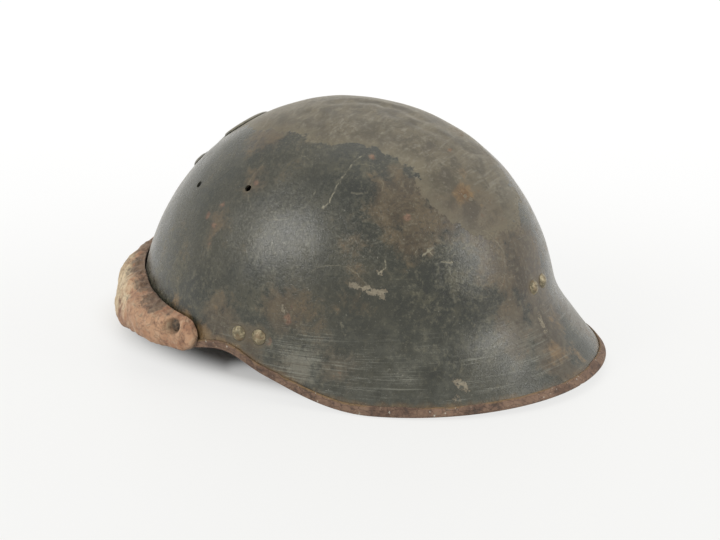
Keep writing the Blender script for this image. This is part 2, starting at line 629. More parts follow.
def arc(finish, where, centre, radius, wide, broken):
    """A scratch in a circle, where the skin cuts a sphere of this centre and radius in mm."""
    centre = tuple(np.array(centre, float) / 1000)
    off = finish.vector("DISTANCE", where, centre, out="Value") * 1000 - radius
    return (off.math("ABSOLUTE", off) + (broken - 0.5) * wide * 5).rise(wide, wide * 0.3)


paint = Finish("helmet_paint", Specular_IOR_Level=0.50, Coat_Roughness=0.24,
               Sheen_Weight=0.42, Sheen_Roughness=0.22, Sheen_Tint=(1.0, 0.93, 0.80))
here = paint.place()
blotch = paint.noise(here, 22, 6, 0.66, 0.5)
mottle = paint.noise(here, 90, 6, 0.70, 0.4)
grit = paint.noise(here, 400, 4, 0.72)
dust = paint.noise(here, 1300, 2, 0.6)
bent = here
for scale, detail, reach in ((70.0, 3.0, 0.005), (380.0, 2.0, 0.0018)):
    warp = paint.node("TexNoise", None, {"Vector": here, "Scale": scale, "Detail": detail}, out=1)
    bent = paint.vector("MULTIPLY_ADD", warp, (reach,) * 3, bent)
bent = paint.vector("SUBTRACT", bent, (0.0034,) * 3)
level_brush = paint.noise(paint.place((38, 38, 1500)), 1.0, 3, 0.7, 0.3)
hairs = reduce(Wire.most, [strands(paint, *strand).rise(low, low + 0.06) for strand, low in [
    (((0.4, 0.3, 0.9), 22, 1.0, 0.0), 0.70), (((1.3, -0.5, 0.2), 15, 0.9, 3.0), 0.71),
    (((-0.6, 1.1, 0.5), 30, 1.1, 7.0), 0.70), (((0.1, -0.9, 1.3), 12, 0.8, 11.0), 0.71)]])
swirl = reduce(Wire.most, [strands(paint, *strand).rise(0.56, 0.68) for strand in [
    ((0.2, 0.1, 0.5), 30, 2.0, 5.0), ((-0.3, 0.2, 1.9), 24, 1.8, 9.0)]])
smear = paint.noise(paint.place((1, 1.5, 2)), 30, 5, 0.66, 1.6)
outer, skirt, rivet = paint.field("outer"), paint.field("skirt"), paint.field("rivet")
stain = ragged(paint.field("stain"), (blotch, 1.8), (mottle, 1.7), (grit, 0.6)).rise(0.24, 0.74)
edge = ragged(paint.field("crown"), (blotch, 30), (mottle, 13), (grit, 3))
worn = edge.rise(-0.4, 0.4)
chip = ragged(paint.field("chip"), (mottle, 7.0), (grit, 9)).rise(0.3, -0.3)
spot = ragged(paint.field("rust"), (mottle, 9), (grit, 5)).rise(0.8, -0.8)
near_rim = ragged(paint.field("above_rim"), (mottle, 9), (grit, 3)).rise(7.5, 4.6)
rust = ((mottle - 0.5) * 1.2 + stain * 0.16 + (grit - 0.5) * 0.9).rise(0.34, 0.50)
ochre = ragged(paint.field("ochre"), (blotch, 0.9), (mottle, 1.8), (grit, 0.6)).rise(0.45, 1.0)
pale = ragged(paint.field("pale"), (mottle, 1.2), (grit, 0.9), (level_brush, 2.4)).rise(0.40, 1.30)
scuff = level_brush.rise(0.54, 0.68) * skirt * blotch.rise(0.40, 0.56)
crackle = paint.cells(bent, 420, "DISTANCE_TO_EDGE").rise(0.075, 0.0)
crackle = crackle * (blotch * 0.5 + mottle * 0.5).rise(0.50, 0.60)
crazed, craze = paint.field("crazed") * outer, paint.noise(bent, 700, 4, 0.78)
glint = craze.rise(0.51, 0.64) * crazed * mottle.rise(0.36, 0.52)
fleck = paint.noise(here, 620, 1.5, 0.5).rise(0.745, 0.79) * mottle.rise(0.42, 0.56)
busy = paint.noise(here, 16, 3, 0.5).rise(0.42, 0.58) * 0.6 + 0.4
arcs = [arc(paint, bent, centre, radius, 0.35, grit) * mottle.rise(0.44, 0.56)
        for centre, radius in ARCS]
arcs.append(arc(paint, bent, (93, 35, 52), 22.0, 0.30, grit)
            * paint.field("above_rim").rise(60.0, 64.0))
bold, fine = ([scratch(paint, bent, ends, wide, grit) for ends, wide in marks]
              for marks in (BOLD, FINE))
lines = reduce(Wire.most, bold) * 0.62 * outer
lines = lines.most(reduce(Wire.most, fine + arcs) * 0.25 * outer)

olive = paint.coats(
    paint.mix(mottle.rise(0.36, 0.64), (0.072, 0.060, 0.038), (0.145, 0.122, 0.080)),
    (smear.rise(0.53, 0.68) * 0.60, (0.225, 0.204, 0.155)),
    (smear.rise(0.46, 0.33) * 0.65, (0.066, 0.054, 0.038)),
    (swirl * mottle.rise(0.42, 0.58) * 0.45, (0.250, 0.232, 0.190)),
    (grit.rise(0.50, 0.70) * 0.40, (0.235, 0.215, 0.170)),
    (grit.rise(0.45, 0.30) * 0.30, (0.050, 0.044, 0.032)),
    ((stain * 0.75).least(1.0),
     paint.mix(mottle.rise(0.40, 0.62), (0.064, 0.050, 0.033), (0.128, 0.102, 0.066))))
inner = paint.coats(
    paint.mix(blotch.rise(0.35, 0.7), (0.060, 0.064, 0.054), (0.095, 0.090, 0.070)),
    (mottle.rise(0.58, 0.70) * 0.6, (0.150, 0.085, 0.045)),
    (grit.rise(0.56, 0.70) * 0.4, (0.150, 0.145, 0.118)))
colour = paint.coats(
    paint.mix(blotch.rise(0.34, 0.66), (0.023, 0.025, 0.017), (0.046, 0.044, 0.028)),
    (mottle.rise(0.48, 0.66) * busy * 0.75, (0.086, 0.079, 0.048)),
    (mottle.rise(0.43, 0.30) * busy * 0.75, (0.013, 0.015, 0.012)),
    (stain * 0.72, paint.mix(mottle.rise(0.38, 0.64), (0.058, 0.038, 0.019), (0.122, 0.085, 0.044))),
    (grit.rise(0.52, 0.66) * busy * 0.50, (0.165, 0.152, 0.104)),
    (grit.rise(0.46, 0.32) * busy * 0.55, (0.014, 0.014, 0.012)),
    (skirt * mottle.rise(0.36, 0.60) * 0.35, (0.088, 0.092, 0.078)),
    (worn, olive),
    (edge.rise(-0.3, 0.5) * edge.rise(7.0, 1.0) * 0.40, (0.175, 0.152, 0.100)),
    (rust * 0.6, (0.160, 0.086, 0.046)),
    (spot * 0.75, paint.mix(grit.rise(0.40, 0.60), (0.130, 0.066, 0.040), (0.290, 0.170, 0.110))),
    (ochre * 0.8, paint.mix(mottle.rise(0.40, 0.62), (0.118, 0.072, 0.032), (0.220, 0.140, 0.062))),
    (ragged(rivet, (mottle, 9), (grit, 4)).rise(3.2, 0.4) * 0.42, (0.150, 0.112, 0.060)),
    (rivet.rise(0.9, 0.1) * 0.8, (0.022, 0.018, 0.013)),
    (chip, paint.mix(grit.rise(0.36, 0.60), (0.165, 0.138, 0.098), (0.275, 0.240, 0.175))),
    (pale * 0.60, (0.225, 0.222, 0.182)),
    (scuff * 0.55, (0.215, 0.215, 0.180)),
    (hairs * blotch.rise(0.36, 0.56) * 0.42, (0.270, 0.260, 0.215)),
    (crackle * 0.5, (0.022, 0.024, 0.021)),
    (craze.rise(0.47, 0.36) * crazed * 0.75, (0.016, 0.017, 0.014)),
    (glint * 0.62, (0.290, 0.285, 0.235)),
    (fleck * 0.6, (0.380, 0.355, 0.300)),
    (near_rim * blotch.rise(0.36, 0.54) * 0.6,
     paint.mix(grit.rise(0.38, 0.62), (0.120, 0.074, 0.038), (0.215, 0.145, 0.072))))
colour = paint.mix(lines, paint.mix(outer, inner, colour), (0.330, 0.300, 0.215))
shine = (0.22 + mottle * 0.14 + (grit - 0.5) * 0.34 + worn * 0.16 + stain * 0.06
         + chip * 0.3 + rust * 0.2 + spot * 0.2 - scuff * 0.06 + crackle * 0.15
         + (craze - 0.5) * crazed * 0.5)
relief = paint.bump(grit * 0.55 + dust * 0.3 + mottle * 0.6 - crackle * 0.25, 0.00034)
relief = paint.bump(1 - chip * 0.8 - worn * 0.45 - lines * 0.5 - hairs * 0.25 + scuff * 0.25
                    + craze * crazed * 0.9, 0.00016, relief)
paint.set(Base_Color=colour, Roughness=shine, Coat_Weight=0.16 - worn * 0.16, Normal=relief)
bowl_fields = skin_fields(read(bowl_mesh.vertices, "co") * 1000, read(bowl_mesh.vertices, "normal"))
add_piece(bowl_mesh, paint, "helmet", "helmet_paint", "bowl", fields=bowl_fields)

# Rim binding

# A strip of thin steel folded round the edge of the bowl and pressed tight, its ends meeting at
# the back. Its paint is gone and it has rusted red brown, with ochre along its upper edge.

# The strip's section, in mm out of the steel and mm past its edge: down its outside, and from its
# foot up its inside and back round the steel.
OUTER_FACE = [(0.12, -3.72), (0.30, -3.80), (0.60, -3.76), (0.86, -3.50), (0.90, -3.0),
              (0.92, -2.3), (0.92, -1.6), (0.92, -0.8)]
INNER_FACE = [(-2.1, -1.0), (-2.1, -2.4), (-2.08, -3.6), (-1.9, -4.0), (-1.5, -4.05), (-1.32, -3.9),
              (-1.3, -2.0), (-1.3, 0.0), (-0.6, 0.1), (0.1, 0.0), (0.1, -2.2)]
RIM_COLUMNS, SEAM_AT = 540, 84.5


def edge_point(t, out, down):
    """Point at a distance out of the steel and down past its edge, both in mm: level with the
    skin above the edge, straight on along its slope below it."""
    side, up = edge_side(t)
    past = np.maximum(down, 0)
    base = skin(t, edge_z(t) - np.minimum(down, 0) * side)
    base = base + (out * side + past * up)[..., None] * outward(t)
    base[..., 2] += out * up - past * side
    return base


t_rim = np.arange(RIM_COLUMNS) * 360.0 / RIM_COLUMNS
side_rim, up_rim = edge_side(t_rim)
drawn_up = 2.3 * (1 - ease((from_rear(t_rim) - 15) / 60))
foot_out, foot_in = [(edge_z(t_rim) - rim_z(t_rim) + out * up_rim) / side_rim - share * drawn_up
                     for out, share in ((STRIP_OUT, 1), (-STRIP_IN, 0.35))]
seam = np.exp(-((t_rim - SEAM_AT) / 0.5) ** 2)
rim_line = skin(t_rim, rim_z(t_rim))
wave = 0.22 * ripples(rim_line, 11, 30) + 0.12 * ripples(rim_line, 12, 9)
corner = np.radians(np.linspace(0, 90, 7))
rim_rows = [(out + 0.10 * wave * ease((down + 4.0) / 2) - 0.45 * seam, down + wave, down)
            for out, down in OUTER_FACE]
rim_rows += [(STRIP_OUT * np.cos(a) - 0.35 * seam,
              foot_out - STRIP_OUT * (1 - np.sin(a)) - 0.3 * seam, 0.5) for a in corner]
rim_rows += [(STRIP_OUT * (1 - np.sin(a)) - STRIP_IN, foot_in - STRIP_OUT * (1 - np.cos(a)), 1.5)
             for a in corner]
rim_rows += [(out, down + 0.4 * wave, 2.0) for out, down in INNER_FACE]
rim_points = np.stack([edge_point(t_rim, out, down) for out, down, level in rim_rows])
rim_points[..., 2] = np.maximum(rim_points[..., 2], 0)
rim_mesh = make_mesh("rim_strip", rim_points, grid_faces(*rim_points.shape[:2], True, True), sharp=60)

rust_red = Finish("rim_rust", Specular_IOR_Level=0.4)
here = rust_red.place()
patch = rust_red.noise(here, 60, 5, 0.62, 0.5)
mottle = rust_red.noise(here, 240, 5, 0.65)
grit = rust_red.noise(here, 900, 3, 0.65)
pale = rust_red.noise(here, 420, 2, 0.5)
lip = (rust_red.field("level") + (mottle - 0.5) * 1.6).rise(-2.7, -3.3)
crack = rust_red.cells(rust_red.place((1, 1, 2.2)), 170, "DISTANCE_TO_EDGE").rise(0.035, 0.0)
colour = rust_red.coats(
    rust_red.mix(patch.rise(0.35, 0.65), (0.125, 0.076, 0.054), (0.225, 0.142, 0.100)),
    (mottle.rise(0.45, 0.66) * 0.7, (0.255, 0.168, 0.115)),
    (mottle.rise(0.46, 0.34) * 0.75, (0.050, 0.036, 0.030)),
    (grit.rise(0.46, 0.32) * 0.4, (0.050, 0.036, 0.028)),
    (lip * patch.rise(0.38, 0.54) * 0.75, (0.200, 0.130, 0.060)),
    ((patch * 0.6 + mottle * 0.4).rise(0.58, 0.66) * 0.6, (0.155, 0.140, 0.110)),
    (pale.rise(0.67, 0.73) * 0.8, (0.55, 0.51, 0.44)),
    (crack * 0.45, (0.070, 0.046, 0.034)))
rust_red.set(Base_Color=colour, Roughness=0.62 + mottle * 0.25,
             Normal=rust_red.bump(mottle + grit * 0.6 - crack * 0.5, 0.0003))
add_piece(rim_mesh, rust_red, "helmet", "rim_steel", "rim_binding",
          fields={"level": np.repeat([level for out, down, level in rim_rows], RIM_COLUMNS)})

# Brow pad and its rivets

# A roll of firm stuffing in soft leather that hangs on the brow, one rivet at each end. The
# leather is drawn in where it is gathered at the top, dished round the rivets and pressed flat
# where the helmet stands on it. It is worn from brown to pink and cream, with dark sweat marks.

PAD_END, PAD_ROUND, PAD_GAP, PAD_PRESS = 72.5, 4.6, 1.3, 1.6
PAD_TURN = 90  # how far the pad's face turns, from its foot at -90 to its top at 90
RIVET_CLEAR, DISH_OFF = 3.1, 4.42  # the dish's flat round a rivet and its height off the steel


def pad_top(f):
    """Height of the pad's top edge at f degrees from the front."""
    return (33.3 + 5.2 * (PAD_END - 5 - np.maximum(f, 40)) / (PAD_END - 45)
            + 6.3 * (1 - ease((f - 25) / 25)))


def pad_bottom(f):
    """Height of the pad's lower edge; below the table it is pressed flat."""
    return -PAD_PRESS + (16.2 + PAD_PRESS) * ease((f - 6) / 47)


def pad_reach(f, z):
    """Reach of the pad off the steel, less a tuck below the brow edge."""
    tuck = np.clip((BEND_Z - z) / (BEND_Z - RIM_BROW), 0, 1) * (1 - ease((f - 45) / 20))
    return 15.2 - 1.2 * ease(f / 40) - 7.4 * ease((f - 56) / 14) - 3.3 * tuck


def pad_base(t, z):
    """Foot of the pad on the steel, straight down below the rim."""
    base = skin(t, np.maximum(z, rim_z(t)), 0.0)
    base[..., 2] = z
    return base


def pad_surface(t, turn):
    """The pad's skin at plan angle t and turn, -90 at its foot to 90 at its top on its face and
    on to 270 down its back: height mid + half sign(sin) |sin|^p, reach cos^q off the steel."""
    f = 180 - from_rear(t)
    part = np.maximum(f - PAD_END + PAD_ROUND, 0) / PAD_ROUND
    part = np.sqrt(np.clip(1 - part ** 2, 0.006, 1))
    mid, half = (pad_top(f) + pad_bottom(f)) / 2, (pad_top(f) - pad_bottom(f)) / 2 * part
    a = np.radians(np.clip(turn, -PAD_TURN, PAD_TURN))
    up, behind = a > 0, turn > PAD_TURN
    z = mid + half * signed_power(np.sin(a), np.where(up, 0.72, 0.8))
    low = np.maximum(rim_z(t) - 0.3, mid - 0.7 * half)
    z = np.where(behind, mid + half + (low - mid - half) * (turn - PAD_TURN) / 180, z)
    reach = (pad_reach(f, z) - PAD_GAP) * (0.35 + 0.65 * part)
    reach = reach * np.clip(np.cos(a), 0, 1) ** np.where(up, 1.06, 0.51)
    reach = PAD_GAP + np.where(behind, 0, reach)
    return pad_base(t, np.maximum(z, 0)) + reach[..., None] * outward(t)


def from_axis(points, spot, way):
    """How far points lie along a direction from a spot, and how far beside it."""
    off = (points - spot) @ way
    return off, np.linalg.norm(points - spot - off[..., None] * way, axis=-1)


def with_tips(values):
    """A grid's values followed by those of its two end points."""
    return np.concatenate([values.ravel(), values[[0, -1], 0]])


straight = PAD_END - PAD_ROUND
f_half = straight + PAD_ROUND * np.sin(np.linspace(0, np.pi / 2, 16)[1:-1])
f_line = np.concatenate([-f_half[::-1], np.linspace(-straight, straight, 400), f_half])
turn_line = np.concatenate([np.linspace(-90, 90, 84), np.linspace(90, 270, 24)[1:]])
t_pad, turn_pad = np.meshgrid(270 + f_line, turn_line, indexing="ij")
f_pad = np.abs(t_pad - 270)
pad = pad_surface(t_pad, turn_pad)
pad_normal = unit(np.cross(np.gradient(pad, axis=1), np.gradient(pad, axis=0)))
run = np.cumsum(np.linalg.norm(np.gradient(pad[:, 40], axis=0), axis=-1))[:, None] + 0 * turn_pad
face_pad = np.clip((92 - turn_pad) / 6, 0, 1) * np.clip((turn_pad + 90) / 14, 0, 1)
top_pad = np.exp(-((turn_pad - 74) / 26) ** 2)
gather = np.sin(run / 7.6 * 2 * np.pi + 1.6 * np.sin(run / 19) + 0.5 * np.sin(turn_pad / 17))
gather = signed_power(gather, 0.8)
pick = 0.5 + 0.5 * np.sin(run / 31 + 0.7)
lift = 0.42 * gather * top_pad * pick * ease((68 - f_pad) / 10)
lift = lift + 0.55 * ripples(pad, 21, 30) + 0.30 * ripples(pad, 22, 12) + 0.16 * ripples(pad, 23, 5)
crease = np.abs(ripples(pad * np.array([1, 1, 0.5]), 24, 16))
lift = lift - 0.55 * np.exp(-(crease / 0.16) ** 2) * (0.4 + 0.6 * top_pad)
lift = lift * face_pad * ease((pad[..., 2] - 0.3) / 5)
pad = pad - 0.15 * pad_normal + np.minimum(lift, 0.9)[..., None] * pad_normal
pad_rivet_t, pad_rivet_z = np.array([335.0, 205.0]), np.array([28.0, 28.0])
pad_rivets = list(zip(skin(pad_rivet_t, pad_rivet_z), facing(pad_rivet_t, pad_rivet_z)))
for spot, way in pad_rivets:
    off, beside = from_axis(pad, spot, way)
    dished = off + (DISH_OFF - off) * np.exp(-(np.maximum(beside - RIVET_CLEAR, 0) / 1.5) ** 2)
    pad = pad + np.where((turn_pad < 88) & (off > 3), dished - off, 0)[..., None] * way
pad[..., 2] = np.maximum(pad[..., 2], 0)
pad_mesh = make_mesh("brow_pad", np.vstack([pad.reshape(-1, 3), pad[[0, -1]].mean(1)]),
                     *capped_faces(*pad.shape[:2]))

SMUDGES = [((90.8, -72.5, 35.0), 8, 1), ((93.2, -63.0, 34.0), 5, 1), ((57.0, -104.1, 46.0), 9, 1),
           ((75.0, -88.1, 40.0), 6, 1), ((34.0, -117.0, 48.0), 8, 1), ((-70.0, -92.0, 40.0), 9, 1),
           ((-30.0, -118.0, 44.0), 8, 1), ((0.0, -128.0, 40.0), 7, 1)]
brow_share = (1 - ease((f_pad - 30) / 26)) * (0.55 + 0.45 * ease((f_pad - 8) / 18))
dish_share = np.maximum.reduce([ease((5.2 - from_axis(pad, spot, way)[1]) / 2.2)
                                for spot, way in pad_rivets])
worn_leather = Finish("pad_leather", Specular_IOR_Level=0.35, Sheen_Weight=0.12)
here = worn_leather.place()
cloud = worn_leather.noise(here, 58, 5, 0.62, 0.3)
mottle = worn_leather.noise(here, 130, 6, 0.65, 0.4)
grit = worn_leather.noise(here, 700, 3, 0.6)
fine = worn_leather.noise(here, 300, 5, 0.7)
wrinkle = worn_leather.noise(here, 120, 4, 0.6, 0.4)
fold = wrinkle.rise(0.480, 0.499) * wrinkle.rise(0.520, 0.501)
turn = worn_leather.field("turn")
cream = (1 - ((turn - 12) / 66) ** 2).most(0.0) * worn_leather.field("brow")
cream = (cream + (cloud - 0.5) * 1.1 + (mottle - 0.5) * 1.4 + (fine - 0.5) * 0.7).rise(0.26, 0.80)
sweat = ((turn / 90) * 0.85 + worn_leather.field("smudge") * 0.75 + (cloud - 0.5) * 3.0
         + (mottle - 0.5) * 2.6 - worn_leather.field("tab") * 0.62).rise(0.50, 1.00)
colour = worn_leather.coats(
    worn_leather.mix(cloud.rise(0.38, 0.62), (0.345, 0.182, 0.110), (0.505, 0.304, 0.190)),
    (mottle.rise(0.50, 0.66) * 0.75, (0.520, 0.372, 0.246)),
    (mottle.rise(0.45, 0.32) * 0.80, (0.135, 0.072, 0.046)),
    (fine.rise(0.52, 0.68) * 0.35, (0.600, 0.470, 0.335)),
    (fine.rise(0.46, 0.32) * 0.50, (0.120, 0.066, 0.044)),
    (cream * 0.88,
     worn_leather.mix(mottle.rise(0.36, 0.60), (0.520, 0.400, 0.255), (0.720, 0.590, 0.400))),
    (sweat * 0.75,
     worn_leather.mix(fine.rise(0.40, 0.62), (0.062, 0.046, 0.035), (0.165, 0.122, 0.088))),
    (fold * 0.14, (0.150, 0.085, 0.058)),
    ((turn / 90).rise(-0.50, -0.90) * 0.6, (0.120, 0.094, 0.066)),
    (worn_leather.field("dish") * 0.8,
     worn_leather.mix(fine.rise(0.40, 0.60), (0.070, 0.050, 0.034), (0.150, 0.118, 0.080))))
relief = worn_leather.bump(mottle * 0.8 + fine * 0.35 + grit * 0.25 - fold * 0.25 + cloud * 0.4,
                           0.0011)
worn_leather.set(Base_Color=colour, Roughness=0.72 + mottle * 0.2, Normal=relief)
pad_fields = {"turn": turn_pad, "tab": ease((f_pad - 56) / 5), "brow": brow_share,
              "dish": dish_share, "smudge": soft_spots(pad, SMUDGES)}
brow_pad = add_piece(pad_mesh, worn_leather, "helmet", "pad_leather",
                     "brow_pad_cover", "brow_pad_filling",
                     fields={name: with_tips(values) for name, values in pad_fields.items()})


def dress(finish, slot, *nodes):
    """Gives CAD nodes that keep their own shape a finish."""
    for node in nodes:
        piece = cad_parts[node]
        piece.data.materials.clear()
        piece.data.materials.append(finish.material)


pad_rivet = Finish("pad_rivet_steel", Metallic=0.3, Specular_IOR_Level=0.4)
mottle = pad_rivet.noise(pad_rivet.place(), 500, 4, 0.6)
colour = pad_rivet.mix(mottle.rise(0.4, 0.6), (0.060, 0.046, 0.036), (0.150, 0.105, 0.070))
pad_rivet.set(Base_Color=colour, Roughness=0.55 + mottle * 0.3, Normal=pad_rivet.bump(mottle, 0.0003))
dress(pad_rivet, "rivet_steel", "pad_rivet_left", "pad_rivet_right")

# Shell rivets

# Four pairs of domed steel rivets hold the liner's lugs. They were painted with the bowl and are
# rubbed down to tan and olive on top, with dark rings of rust where they meet the steel.

shell_rivet = Finish("shell_rivet_paint", Specular_IOR_Level=0.6, Metallic=0.35)
here = shell_rivet.place()
mottle = shell_rivet.noise(here, 380, 5, 0.65, 0.5)
patch = shell_rivet.noise(here, 160, 3, 0.6)
colour = shell_rivet.coats(
    shell_rivet.mix(mottle.rise(0.38, 0.62), (0.130, 0.108, 0.062), (0.350, 0.295, 0.185)),
    (patch.rise(0.54, 0.66) * 0.7, (0.165, 0.105, 0.052)),
    (patch.rise(0.44, 0.32) * 0.8, (0.050, 0.044, 0.032)))
shell_rivet.set(Base_Color=colour, Roughness=0.24 + mottle * 0.25,
                Normal=shell_rivet.bump(mottle, 0.0005))
dress(shell_rivet, "rivet_steel", "rivets_rear", "rivets_left", "rivets_right", "rivets_front")

# Front badge

# A small pressed steel plate pinned through the brow: a plain oval over a plain curved scroll,
# joined by a ribbed stem. Its fields are left bare. It is painted with the bowl and rubbed at
# its raised borders.

BADGE_EDGE, BADGE_BACK = 0.25, 0.15  # the plate's edge and back off the steel
TOP_RINGS, BACK_RINGS, BADGE_COLUMNS = 26, 6, 96


def badge_point(x, z, lift):
    """A point x mm from the middle and z mm up, lifted off the skin along its normal."""
    reach = np.linalg.norm(skin(270 + 0 * z, z)[..., :2] - [0, CENTRE_Y], axis=-1)
    t = 270 + np.degrees(np.arcsin(x / reach))
    return skin(t, z) + lift[..., None] * facing(t, z)


def badge_form(middle, half, bow, square, height):
    """One form of the badge on rings 0 to 1 from its middle: x = w |cos|^s, z = h |sin|^s with
    its ends bowed up, its top lifted by height(ring) and its back flat near the steel."""
    ring = np.concatenate([np.linspace(0.04, 1, TOP_RINGS), [1.0],
                           np.linspace(0.98, 0.04, BACK_RINGS)])[:, None]
    top = (np.arange(len(ring)) < TOP_RINGS)[:, None]
    a = np.radians(np.arange(BADGE_COLUMNS) * 360 / BADGE_COLUMNS)
    x = half[0] * signed_power(np.cos(a), square) * ring
    z = middle + half[1] * signed_power(np.sin(a), square) * ring + bow * (x / half[0]) ** 2
    points = badge_point(x, z, np.where(top, height(ring + 0 * x, x, z - middle), BADGE_BACK))
    tips = points[[0, -1]].mean(1)
    return np.vstack([points.reshape(-1, 3), tips]), capped_faces(*points.shape[:2])


def bordered(high, border, inset, crown):
    """Height of a pressed plate: up from its edge to a rounded border, down to a field that
    swells again by crown towards its middle."""
    def height(ring, x, z):
        wall_up = ease((1.0 - ring) / 0.07)
        ridge = np.exp(-((ring - (1 - inset)) / 0.055) ** 2) * border
        return BADGE_EDGE + (high - BADGE_EDGE) * wall_up + ridge + crown * (1 - ring ** 2)
    return height


def ribbed(ring, x, z):
    """Height of the stem: three upright ribs that die away at its ends."""
    ribs = 0.28 * np.cos(x * 1.9) * ease((1 - ring) / 0.3)
    return BADGE_EDGE + ease((1 - ring) / 0.15) + ribs


def scrolled(ring, x, z):
    """Height of the scroll: a bordered band with a rolled boss at each end."""
    boss = 0.55 * np.exp(-(((np.abs(x) - 16.3) / 2.6) ** 2 + ((z - 2.0) / 2.6) ** 2))
    fold = -0.35 * np.exp(-((np.abs(x) - 12.2) / 0.7) ** 2)
    return bordered(0.80, 0.28, 0.13, 0.20)(ring, x, z) + (boss + fold) * ease((1 - ring) / 0.12)


def joined(parts):
    """Several sets of points and faces as one."""
    points, faces, total = [], [], 0
    for some, its_faces in parts:
        points.append(some)
        faces += [f + total for f in its_faces]
        total += len(some)
    return np.vstack(points), faces


badge_points, badge_faces = joined([
    badge_form(92.6, (20.5, 5.5), 3.0, 0.8, scrolled),
    badge_form(103.2, (5.0, 8.8), 0.0, 0.75, ribbed),
    badge_form(114.0, (14.2, 7.6), 0.0, 0.92, bordered(0.95, 0.32, 0.12, 0.30))])
badge_mesh = make_mesh("badge_plate", badge_points, *badge_faces)
heights = np.linalg.norm(badge_points - skin(skin_angle(badge_points), badge_points[:, 2]), axis=-1)
badge_paint = Finish("badge_paint", Specular_IOR_Level=0.5, Sheen_Weight=0.11, Sheen_Roughness=0.26)
here = badge_paint.place()
mottle = badge_paint.noise(here, 220, 5, 0.65, 0.4)
blotch = badge_paint.noise(here, 70, 4, 0.6)
raised = (badge_paint.field("height") + (mottle - 0.5) * 1.6).rise(1.05, 1.6)
colour = badge_paint.coats(
    badge_paint.mix(mottle.rise(0.40, 0.65), (0.060, 0.059, 0.044), (0.122, 0.113, 0.082)),
    (raised * 0.6, (0.270, 0.248, 0.185)),
    (blotch.rise(0.56, 0.68) * 0.7, (0.120, 0.072, 0.038)))
badge_paint.set(Base_Color=colour, Roughness=0.36 + mottle * 0.25,
                Normal=badge_paint.bump(mottle, 0.00025))
add_piece(badge_mesh, badge_paint, "helmet", "badge_paint", "front_badge", fields={"height": heights})

# Lugs, hoop and spacers

# Four bent steel lugs riveted in the bowl hook over an aluminium hoop, and corrugated aluminium
# strips between hoop and bowl keep the liner springy. Brackets of the same steel hold the strap.

dark_steel = Finish("fittings_steel", Specular_IOR_Level=0.45)
here = dark_steel.place()
mottle = dark_steel.noise(here, 180, 5, 0.65, 0.3)
grit = dark_steel.noise(here, 800, 3, 0.6)
colour = dark_steel.coats(
    dark_steel.mix(mottle.rise(0.38, 0.64), (0.070, 0.072, 0.066), (0.150, 0.148, 0.130)),
    ((mottle * 0.7 + grit * 0.3).rise(0.56, 0.68) * 0.85, (0.150, 0.078, 0.038)))
dark_steel.set(Base_Color=colour, Roughness=0.48 + mottle * 0.3, Metallic=0.25,
               Normal=dark_steel.bump(mottle * 0.6 + grit * 0.4, 0.0003))
dress(dark_steel, "fittings_steel", "lug_front", "lug_rear", "lug_left", "lug_right",
      "strap_bracket_left", "strap_bracket_right", "strap_hanger_left", "strap_hanger_right")

aluminium = Finish("liner_aluminium", Metallic=1.0)
mottle = aluminium.noise(aluminium.place(), 90, 4, 0.6)
drawn = aluminium.noise(aluminium.place((90, 90, 2600)), 1.0, 3, 0.6)
colour = aluminium.coats(
    aluminium.mix(drawn.rise(0.35, 0.70), (0.420, 0.425, 0.420), (0.640, 0.640, 0.625)),
    (mottle.rise(0.52, 0.72) * 0.55, (0.300, 0.295, 0.270)))
aluminium.set(Base_Color=colour, Roughness=0.38 + mottle * 0.22, Normal=aluminium.bump(drawn, 0.0001))
dress(aluminium, "liner_aluminium", "liner_hoop", "spacer_1", "spacer_2", "spacer_3", "spacer_4")

# Headband

# A band of soft calf leather round the head, 2 mm thick, turned up outside the hoop at its foot.
# It hangs 5 degrees down at the brow, and is dark where the forehead has soaked it.

HEAD = (78, 91, 100)  # the band's inner oval: half its width, its reach forward and behind
BAND_Z, BAND_H, FOLD_H, TILT, BAND_COLUMNS = 38.0, 26.0, 8.0, math.radians(5), 420


def leaned(points):
    """Points of the liner's own frame, tilted about the headband's lower edge and centred."""
    x, y, z = np.moveaxis(points, -1, 0)
    return np.stack([x, y * math.cos(TILT) - z * math.sin(TILT) + CENTRE_Y,
                     BAND_Z + y * math.sin(TILT) + z * math.cos(TILT)], -1)


def head_point(t, grow, height):
    """A point grow mm outside the headband's inner oval, at a height."""
    r = oval(t, *(reach + grow for reach in HEAD), 2)
    return r[..., None] * outward(t) + np.stack([0 * r, 0 * r, height + 0 * r], -1)


def resampled(line, step):
    """Points every step mm or less along a line of corners."""
    line = np.asarray(line, float)
    length = np.concatenate([[0], np.cumsum(np.linalg.norm(np.diff(line, axis=0), axis=1))])
    at = np.linspace(0, length[-1], max(int(math.ceil(length[-1] / step)), 2) + 1)
    return np.stack([np.interp(at, length, line[:, k]) for k in range(line.shape[1])], -1)


